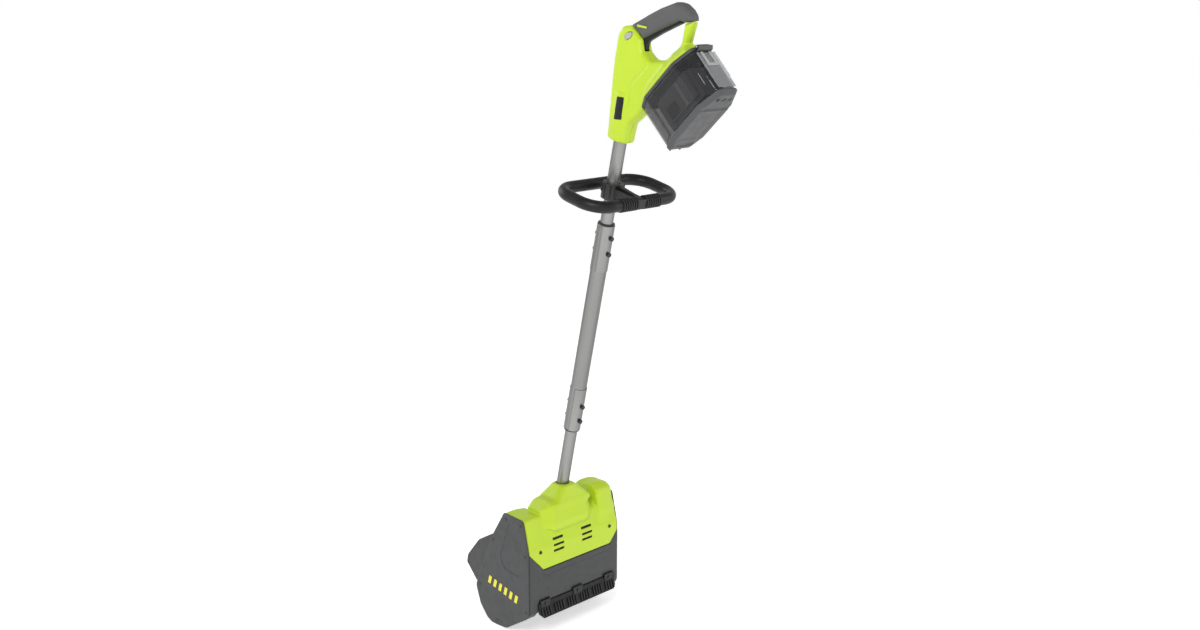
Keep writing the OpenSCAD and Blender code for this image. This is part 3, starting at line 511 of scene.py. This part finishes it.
def make_top_cover():
    """Lime cover over the motor and the belt drive, its vents backed by a black strip."""
    vol = Volume((-135, -92, -172), (146, 54, 8), 1.3)
    x, y, z = vol.x, vol.y, vol.z
    low = prism(outline_field(y, z, cover_side(-58, -46)), span(x, LIME_RIGHT, LIME_LEFT), 4)
    left = prism(outline_field(y, z, SIDE) + 0.8 + 0.16 * np.maximum(110 - x, 0), span(x, 84, LIME_LEFT), 5)
    left = np.maximum(left, -z - 118)
    dome = rounded([(-76, -104), (-41, -30), (-28, -19), (15, -19), (33, -30), (43, -78), (41, -104)],
                   [6, 14, 14, 20, 18, 20, 4])
    dome = outline_field(y, z, dome) + 0.007 * (x + 98) ** 2 * (x < -98)
    right = prism(dome, span(x, LIME_RIGHT, -76), 6)
    body = merge(merge(low, left, 3), right, 9)
    # motor bulge with sloped ends
    bulge = rounded([(-40, -66), (-30, -30), (-17, -20), (26, -20), (37, -27), (48, -66), (47, -84),
                     (0, -90)], 6)
    ends = 0.55 * (np.maximum(x - 66, 0) + np.maximum(-34 - x, 0))
    body = merge(body, prism(outline_field(y, z, bulge) + ends, span(x, -54, 92), 4), 5)
    # collar that rises to the foot of the shaft
    up = np.clip((z + 30) / 34, 0, 1)
    hx, hy = 58 - 37 * up, 36 - 15 * up
    dx, dy = np.abs(x) - hx + 14, np.abs(y - 3) - hy + 14
    collar = np.minimum(np.maximum(dx, dy), 0) + np.hypot(np.maximum(dx, 0), np.maximum(dy, 0)) - 14
    collar = prism(collar * 0.68, span(z, -40, 4), 3)
    body = merge(body, collar, 4)
    # chamfered lower corners of the rear skirt
    body = np.maximum(body, (x - 103) * 0.735 - (z + 165) * 0.66)
    body = np.maximum(body, (-108 - x) * 0.777 - (z + 165) * 0.63)
    body = np.maximum(body, span(x, LIME_RIGHT, LIME_LEFT))
    # hollow inside, open below and towards the belt drive
    solid = body
    room = np.maximum(solid + COVER_WALL, -z - 200)
    room = merge(room, np.maximum(outline_field(y, z, SIDE) + 4.2, span(x, 122, 160)), 0.5)
    body = carve(body, room, 0.5)
    body = carve(body, np.maximum(span(z, -300, -116.5), y - 44.2), 0.4)
    lean = y - z * math.tan(LEAN)
    body = carve(body, np.hypot(x, lean * math.cos(LEAN)) - 14.5, 0.8)
    for vx in (54, -34):
        for i in range(3):
            low = -106.5 - 13.5 * i
            body = carve(body, block(x, y, z, (vx - 16, 30, low), (vx + 16, 60, low + 5), 1), 0.5)
    for sx in COVER_SCREWS:
        at = np.hypot(x - sx, z + 122)
        boss = np.maximum(at - 6, span(y, 34, 48.6))
        body = merge(body, boss, 1.5)
        body = carve(body, np.maximum(at - 4.6, 46.6 - y), 0.6)
    backing = np.maximum(np.maximum(solid + 3.3, -solid - 5.6),
                         block(x, y, z, (-54, 20, -141), (74, 60, -97), 1))
    piece("vent_backing", vol.mesh(backing), "black_plastic", "frame", matrix=M_HEAD)
    piece("top_cover_shell", vol.mesh(body), "lime_plastic", "frame", ["top_cover"], M_HEAD)


def make_belt_case():
    """Rim of the belt drive and the outer skin of the housing's back wall."""
    vol = Volume((-135, -150, -334), (146, 54, -104), 1.5)
    x, y, z = vol.x, vol.y, vol.z
    side = outline_field(y, z, SIDE)
    rim = np.maximum(np.maximum(side + 0.5, -side - 4.2), span(x, 121.3, LIME_LEFT))
    rim = np.maximum(rim, z + 117.5)
    skin = block(x, y, z, (LIME_RIGHT, 44.4, -268), (LIME_LEFT, 47.3, -168), 1.2)
    body = merge(rim, skin, 1.5)
    # the lime skirt's chamfers are met by the dark skin
    for s, cx, nx, nz, end in ((1, 103, 0.735, 0.66, LIME_LEFT), (-1, 108, 0.777, 0.63, -LIME_RIGHT)):
        wing = block(s * x, y, z, (cx, 44.4, -182), (end, 47.3, -118), 1)
        cut = (s * x - cx) * nx - (z + 165) * nz
        body = np.minimum(body, np.maximum(wing, 0.8 - cut))
    groove = np.maximum(np.maximum(np.abs(z + 181) - 1.3, np.abs(x - 2) - 104), 45.6 - y)
    body = carve(body, groove, 0.5)
    for sx in (-100, 0, 100):
        body = carve(body, block(x, y, z, (sx - 15.5, 40, -264), (sx + 15.5, 60, -238), 1), 0.3)
    body = carve(body, np.maximum(z + 244.5, span(x, -HEAD_HW, 120)), 0.3)
    piece("belt_case_and_back", vol.mesh(body), "housing_plastic", "frame", matrix=M_HEAD)


def make_side_cover():
    """Dark plate that closes the belt drive."""
    vol = Volume((140, -150, -333), (149, 52, -34), 0.9)
    x, y, z = vol.x, vol.y, vol.z
    body = prism(outline_field(y, z, SIDE), span(x, LIME_LEFT + 0.5, CASE_OUT - 0.3), 1.6)
    panel = outline_field(y, z, PANEL)
    body = carve(body, np.maximum(panel * 0.6, 145.7 - x), 0.5)
    rib = np.hypot(panel, x - 145.7) - 1.2
    body = merge(body, rib, 0.8)
    short = rounded([(-75, -161), (-72, -163), (-62, -181), (-65, -182)], 0.8)
    body = merge(body, np.maximum(outline_field(y, z, short), span(x, 146, 147)), 0.8)
    for py, pz in CASE_SCREWS:
        body = carve(body, np.maximum(np.hypot(y - py, z - pz) - 3.4, 145.6 - x), 0.5)
    body = np.maximum(body, x - CASE_OUT)
    piece("side_cover", vol.mesh(body), "housing_plastic", "frame", ["belt_cover"], M_HEAD)
    # generic stripes in place of the maker's decal
    stripes = []
    for i in range(6):
        y0, z0 = -92 + 18.5 * i, -212 - 3.6 * i
        bar = rounded([(y0, z0), (y0 + 9, z0 - 1.8), (y0 + 3, z0 - 21), (y0 - 6, z0 - 19.2)], 1.5, 3)
        stripes.append(plate(bar, CASE_OUT - 0.5, CASE_OUT - 0.05, 0.1))
    piece("side_stripes", joined(*stripes), "decal_yellow", "frame", matrix=M_HEAD)


def make_inner_plate():
    """Plate behind the belt drive, kept inside the rounded corners of the covers."""
    cy, cz = -35, -190
    inner = [(cy + (a - cy) * 0.955, cz + (b - cz) * 0.955) for a, b in SIDE]
    piece("belt_back_plate", plate(inner, 121.3, 125, 0.6), "housing_plastic", "frame",
          ["left_side_plate"], M_HEAD, smooth=False)


def make_right_side():
    """Plate on the right end, with its rim and the boss that holds the bearing."""
    vol = Volume((-136, -150, -333), (-119, 52, -34), 1.1)
    x, y, z = vol.x, vol.y, vol.z
    side = outline_field(y, z, SIDE)
    body = prism(side + 1.6 * ramp(z, -150, -110), span(x, -133.2, LIME_RIGHT - 0.2), 0.7)
    rim = np.maximum(np.maximum(side, -side - 4), np.maximum(z + 118, span(x, -132.6, -121.4)))
    body = merge(body, rim, 1)
    body = merge(body, np.maximum(np.abs(outline_field(y, z, PANEL)) - 1.2, span(x, -133.9, -132.4)), 0.8)
    ring = np.hypot(y + 66, z + 232)
    body = merge(body, np.maximum(ring - 21, span(x, -133.2, -121.4)), 1.5)
    body = carve(body, np.maximum(ring - 16.2, -x - 130.2), 0.4)
    body = merge(body, np.maximum(np.abs(ring - 26) - 1.5, span(x, -133.6, -131)), 1.0)
    for py, pz in CASE_SCREWS:
        at = np.hypot(y - py, z - pz)
        body = merge(body, np.maximum(at - 4.6, span(x, -133.2, -121.6 if pz < -118 else -131)), 1.0)
        body = carve(body, at - 2.2, 0.3)
    piece("right_end", vol.mesh(body), "housing_plastic", "frame", ["right_side_plate"], M_HEAD)


def make_hood():
    """Visor over the intake, with ribs on its inside."""
    w = HEAD_HW - 0.4
    vol = Volume((-123, -214, -266), (123, -108, -120), 1.3)
    x, y, z = vol.x, vol.y, vol.z
    outer = rounded([(-112.3, -124), (-162, -154), (-205, -205), (-209, -226), (-174, -262), (-140, -256),
                     (-112.3, -196)], [2, 22, 26, 10, 8, 12, 8])
    side = outline_field(y, z, outer)
    lip = np.maximum(np.maximum(side, -side - 4.2), np.maximum(span(x, -w, w), -z - 227))
    lip = np.maximum(lip, y + 114)
    ends = prism(side, np.abs(np.abs(x) - w + 2.2) - 2, 1.2)
    body = merge(lip, ends, 3)
    for i in range(-4, 5):
        rib = np.maximum(np.maximum(side, -side - 8), np.abs(x - i * 24) - 1.1)
        body = merge(body, np.maximum(rib, np.maximum(-z - 222, y + 114)), 1.2)
    body = np.maximum(body, y + 112.4)
    piece("hood_shell", vol.mesh(body), "housing_plastic", "frame", ["front_hood"], M_HEAD)


make_top_cover()
make_belt_case()
make_side_cover()
make_inner_plate()
make_right_side()
make_hood()

# ---------------------------------------------------------------- battery bay
HINGE = (-4, 3)
LATCH = (BAY_LEN + 4, 99.5)
CAP_Z = 101


def bay_outline(vol, inset):
    """Distance to the bay's outline moved in by inset."""
    return outline_field(vol.x, vol.y, bay_plan(0)) + inset


def make_base():
    """Floor of the bay, with the pack's rails, the hinge knuckle and the latch's catch."""
    vol = Volume((-50, -11, -2), (50, 183, 22), 1.1)
    x, y, z = vol.x, vol.y, vol.z
    plan = bay_outline(vol, 0)
    body = prism(plan, span(z, 0.1, 7), 1.4)
    body = np.minimum(body, prism(plan + 5, span(z, 2, 10.8), 0.8))
    body = carve(body, prism(plan + 9, span(z, 5.2, 40), 1), 0.5)
    body = merge(body, np.maximum(np.hypot(y - HINGE[0], z - HINGE[1]) - 4.2, np.abs(x) - 11.7), 1)
    body = merge(body, block(x, y, z, (-11.7, -4, 0.4), (11.7, 6, 6), 0.4), 1)
    body = merge(body, block(x, y, z, (-9, 176, 1), (9, 180, 4.5), 0.6), 0.5)
    for s in (-1, 1):
        ends = sorted((s * 23, s * 29))
        body = merge(body, block(x, y, z, (ends[0], 52, 4.9), (ends[1], 132, 20), 1.2), 1)
        body = carve(body, block(x, y, z, (s * 15.5 - 4, -2, -2), (s * 15.5 + 4, 0.8, 8), 0.3), 0.2)
    body = carve(body, block(x, y, z, (-20, 60, -5), (20, 120, 12), 0.5), 0.3)
    # groove round the rim, and the hinge pin's hole
    body = carve(body, np.maximum(np.abs(plan) - 0.9, np.abs(z - 4.6) - 0.7), 0.4)
    body = carve(body, np.hypot(y - HINGE[0], z - HINGE[1]) - 1.9, 0.2)
    piece("bay_base", vol.mesh(body), "housing_plastic", "frame", ["battery_base"], M_BAY)


def make_window():
    """Smoked walls of the cover, with the ears of its hinge."""
    vol = Volume((-50, -10, -3), (50, 180, 104), 1.3)
    x, y, z = vol.x, vol.y, vol.z
    plan = bay_outline(vol, 0.5) + 0.012 * np.maximum(z - 7, 0)
    body = np.maximum(np.maximum(plan, -plan - 2.4), span(z, 7.5, CAP_Z))
    # step that stiffens each long side
    step = outline_field(y, z, rounded([(52, 20), (130, 20), (134, 88), (48, 88)], 8))
    body = carve(body, np.maximum(step * 0.8, 46.9 - np.abs(x)), 0.4)
    for s in (-1, 1):
        lo, hi = sorted((s * 12, s * 19))
        ear = np.maximum(np.hypot(y - HINGE[0], z - HINGE[1]) - 4.2, span(x, lo, hi))
        ear = merge(ear, block(x, y, z, (lo, -8, 3), (hi, -0.6, 13), 1), 0.8)
        ear = merge(ear, block(x, y, z, (lo, -4, 7.4), (hi, 2.6, 13), 0.6), 0.8)
        body = merge(body, ear, 0.8)
    body = carve(body, block(x, y, z, (-12, -2, 0), (12, 5, 14), 0.4), 0.3)
    body = carve(body, np.hypot(y - HINGE[0], z - HINGE[1]) - 1.8, 0.2)
    piece("smoked_window", vol.mesh(body), "smoked_plastic", "cover", ["cover_window"], M_BAY)


def make_cap():
    """Opaque end of the cover, with the ears of its latch."""
    vol = Volume((-50, -2, 93), (50, 188, 114), 1.0)
    x, y, z = vol.x, vol.y, vol.z
    plan = bay_outline(vol, 0)
    body = prism(plan + 1.15 * np.maximum(z - 105, 0), span(z, CAP_Z + 0.3, BAY_DEPTH - 0.2), 1.6)
    # groove between the two decks, the main deck's shallow field, three marks and a thumb dish
    body = carve(body, block(x, y, z, (-60, 45, 109.6), (60, 54, 120), 1), 1)
    body = carve(body, block(x, y, z, (-26, 60, 111.2), (26, 140, 120), 0.2), 0.6)
    for sx in (-17, 0, 17):
        body = carve(body, block(x, y, z, (sx - 4.5, 19, 109), (sx + 4.5, 26, 120), 1.5), 0.5)
    bowl = np.hypot(x / 24, (y - 157) / 6.5) * 6.5 - 6.5
    body = carve(body, np.maximum(bowl, 109.9 - z), 1.2)
    body = carve(body, np.maximum(plan + 3.6 + 1.15 * np.maximum(z - 101, 0), z - 108.4), 0.5)
    for s in (-1, 1):
        ear = block(x, y, z, (s * 14 - 2, 170, 95), (s * 14 + 2, 186, 104.5), 1)
        body = merge(body, np.maximum(ear, 175 - y - np.maximum(z - 101, 0) * 9), 0.6)
    body = carve(body, np.maximum(np.hypot(y - LATCH[0], z - LATCH[1]) - 1.8, 176 - y), 0.2)
    piece("bay_cap", vol.mesh(body), "cap_plastic", "cover", ["cover_cap"], M_BAY)


def make_cover_end():
    """Clear rails and arms on the hinge end of the cover, and the hood over its hinge."""
    vol = Volume((-29, -14, -1), (29, 2, 100), 0.9)
    x, y, z = vol.x, vol.y, vol.z
    body = block(x, y, z, (-25, -1.7, 15), (25, 0.2, 99), 0.6)
    for s in (-1, 1):
        body = merge(body, block(x, y, z, (s * 23 - 1.6, -3.8, 15), (s * 23 + 1.6, 0, 77), 0.8), 0.8)
    body = carve(body, block(x, y, z, (-15, -4, 50), (15, -1, 92), 1), 0.5)
    piece("cover_end_panel", vol.mesh(body), "clear_plastic", "cover", matrix=M_BAY)
    arms = np.minimum(block(x, y, z, (8, -3.6, 14), (15, -1.2, 47), 1.2),
                      block(x, y, z, (-15, -3.6, 14), (-8, -1.2, 47), 1.2))
    arms = merge(arms, block(x, y, z, (-15, -3.6, 41), (15, -1.2, 48), 1.2), 1)
    piece("cover_arms", vol.mesh(arms), "button_plastic", "cover", matrix=M_BAY)
    ring = np.hypot(y - HINGE[0], z - HINGE[1] - 1)
    hood = prism(np.maximum(ring - 8.2, 5.6 - ring), span(x, -19.5, 19.5), 1)
    hood = np.maximum(hood, np.maximum(-(z - 3.2) - 0.35 * (y + 4), y + 1.0))
    hood = merge(hood, block(x, y, z, (-19.5, -7.6, 9.4), (19.5, -0.6, 13.2), 1.4), 1.2)
    piece("hinge_hood", vol.mesh(hood), "cap_plastic", "cover", matrix=M_BAY)


def make_pack_trim():
    """Ribs on the pack's sides, and pale clear strips inside the cover that are a painted highlight on its slanted
    faces.
    """
    vol = Volume((-42, 60, 24), (42, 82, 92), 0.9)
    x, y, z = vol.x, vol.y, vol.z
    body = block(np.abs(x), y, z, (36.5, 66, 29), (39.4, 73, 81), 1)
    piece("pack_side_ribs", vol.mesh(body), "button_plastic", "battery", matrix=M_BAY)
    for s in (-1, 1):
        strips = []
        # painted highlight: pale strips set where light catches the window's slanted faces
        for px, py, z0, z1 in ((34.2, 14.4, 51, 79), (29.4, 4.4, 76, 96)):
            strip = rounded([(py - 0.8, z0), (py + 0.8, z0), (py + 0.8, z1), (py - 0.8, z1)], 0.7, 3)
            low, high = sorted((s * (px + 0.1), s * (px + 1.1)))
            strips.append(plate(strip, low, high, 0.2))
        piece(f"window_highlight_strips_{'left' if s > 0 else 'right'}", joined(*strips), "clear_plastic", "cover",
              matrix=M_BAY)


make_base()
make_window()
make_cap()
make_cover_end()
make_pack_trim()

# ---------------------------------------------------------------- CAD nodes that only need softer edges
EDGES = {
    "auger_housing": 0.8, "scraper": 0.5, "scraper_screws": 0.3, "belt_cover_screws": 0.15,
    "top_cover_screws": 0.3, "side_plate_screws": 0.2, "motor_can": 0.5,
    "drive_pulley": 0.2, "auger_pulley": 0.2, "auger_core": 0.6, "auger_blades": 0.6,
    "joint_bolts": 0.4, "joint_nuts": 0.3, "handle_bracket": 1.2, "clamp_jaw": 0.8,
    "clamp_screws": 0.4, "loop_grips": 0.8, "battery_case": 2.0, "battery_stem": 0.6,
    "battery_latch_left": 0.8, "battery_latch_right": 0.8, "cover_latch": 0.6,
    "terminal_block": 0.4, "left_side_plate": 0.4, "lower_tube": 0.4, "middle_tube": 0.5,
    "upper_tube": 0.4,
}
for name, width in EDGES.items():
    bevel(frame["nodes"][name], width, 2)


# ---------------------------------------------------------------- camera, floor and light
def look(azimuth, elevation, distance, aim, lens):
    """Camera that looks at aim from a direction given in degrees."""
    a, e = math.radians(azimuth), math.radians(elevation)
    back = Vector((math.sin(a) * math.cos(e), -math.cos(a) * math.cos(e), math.sin(e)))
    data = bpy.data.cameras.new("camera")
    data.lens = lens
    data.sensor_width = 36
    cam = bpy.data.objects.new("camera", data)
    cam.location = aim + back * distance
    cam.rotation_euler = (math.radians(90 - elevation), 0, a)
    bpy.context.collection.objects.link(cam)
    bpy.context.scene.camera = cam
    return cam


# the shaft's foot sits left of and below the middle of the view
camera = look(azimuth=136.0, elevation=14.0, distance=2.996, aim=HEAD, lens=39.0)
camera.location += camera.rotation_euler.to_matrix() @ Vector((0.0867, 0.388, 0.0))


def area_light(name, place, aim, size, power):
    """Square soft light turned towards aim."""
    data = bpy.data.lights.new(name, "AREA")
    data.shape = "SQUARE"
    data.size = size
    data.energy = power
    obj = bpy.data.objects.new(name, data)
    obj.location = place
    obj.rotation_euler = (Vector(aim) - Vector(place)).to_track_quat("-Z", "Y").to_euler()
    bpy.context.collection.objects.link(obj)


def make_stage():
    """Pale floor, bright surroundings and three soft lights."""
    bm = bmesh.new()
    bmesh.ops.create_grid(bm, x_segments=1, y_segments=1, size=90)
    mesh = bpy.data.meshes.new("floor")
    bm.to_mesh(mesh)
    bm.free()
    floor = bpy.data.objects.new("floor", mesh)
    floor.location.z = -0.001
    bpy.context.collection.objects.link(floor)
    n = Nodes("floor")
    n.link(n.mix(n.noise(2), (0.9, 0.9, 0.9), (0.91, 0.91, 0.91)), n.shader.inputs["Base Color"])
    n.shader.inputs["Roughness"].default_value = 0.95
    n.shader.inputs["Emission Color"].default_value = (1, 1, 1, 1)
    n.shader.inputs["Emission Strength"].default_value = 0.52
    mesh.materials.append(n.mat)
    world = bpy.data.worlds.new("studio")
    bpy.context.scene.world = world
    world.use_nodes = True
    tree = world.node_tree
    split = tree.nodes.new("ShaderNodeSeparateXYZ")
    tree.links.new(tree.nodes.new("ShaderNodeTexCoord").outputs["Generated"], split.inputs[0])
    fade = tree.nodes.new("ShaderNodeMapRange")
    for key, number in (("From Min", 0.15), ("From Max", 0.6), ("To Min", 1.0), ("To Max", 0.42)):
        fade.inputs[key].default_value = number
    tree.links.new(split.outputs["Z"], fade.inputs["Value"])
    tree.links.new(fade.outputs["Result"], tree.nodes["Background"].inputs["Strength"])
    tree.nodes["Background"].inputs["Color"].default_value = (1, 1, 1, 1)
    area_light("key", (2.4, 1.6, 3.0), (0, 0, 0.7), 1.4, 60)
    area_light("fill", (-2.6, 2.2, 1.8), (0, 0, 0.7), 2.0, 14)
    area_light("front", (0.5, -3.0, 2.2), (0, 0, 0.6), 2.0, 22)
    bpy.context.scene.view_settings.view_transform = "Standard"


make_stage()
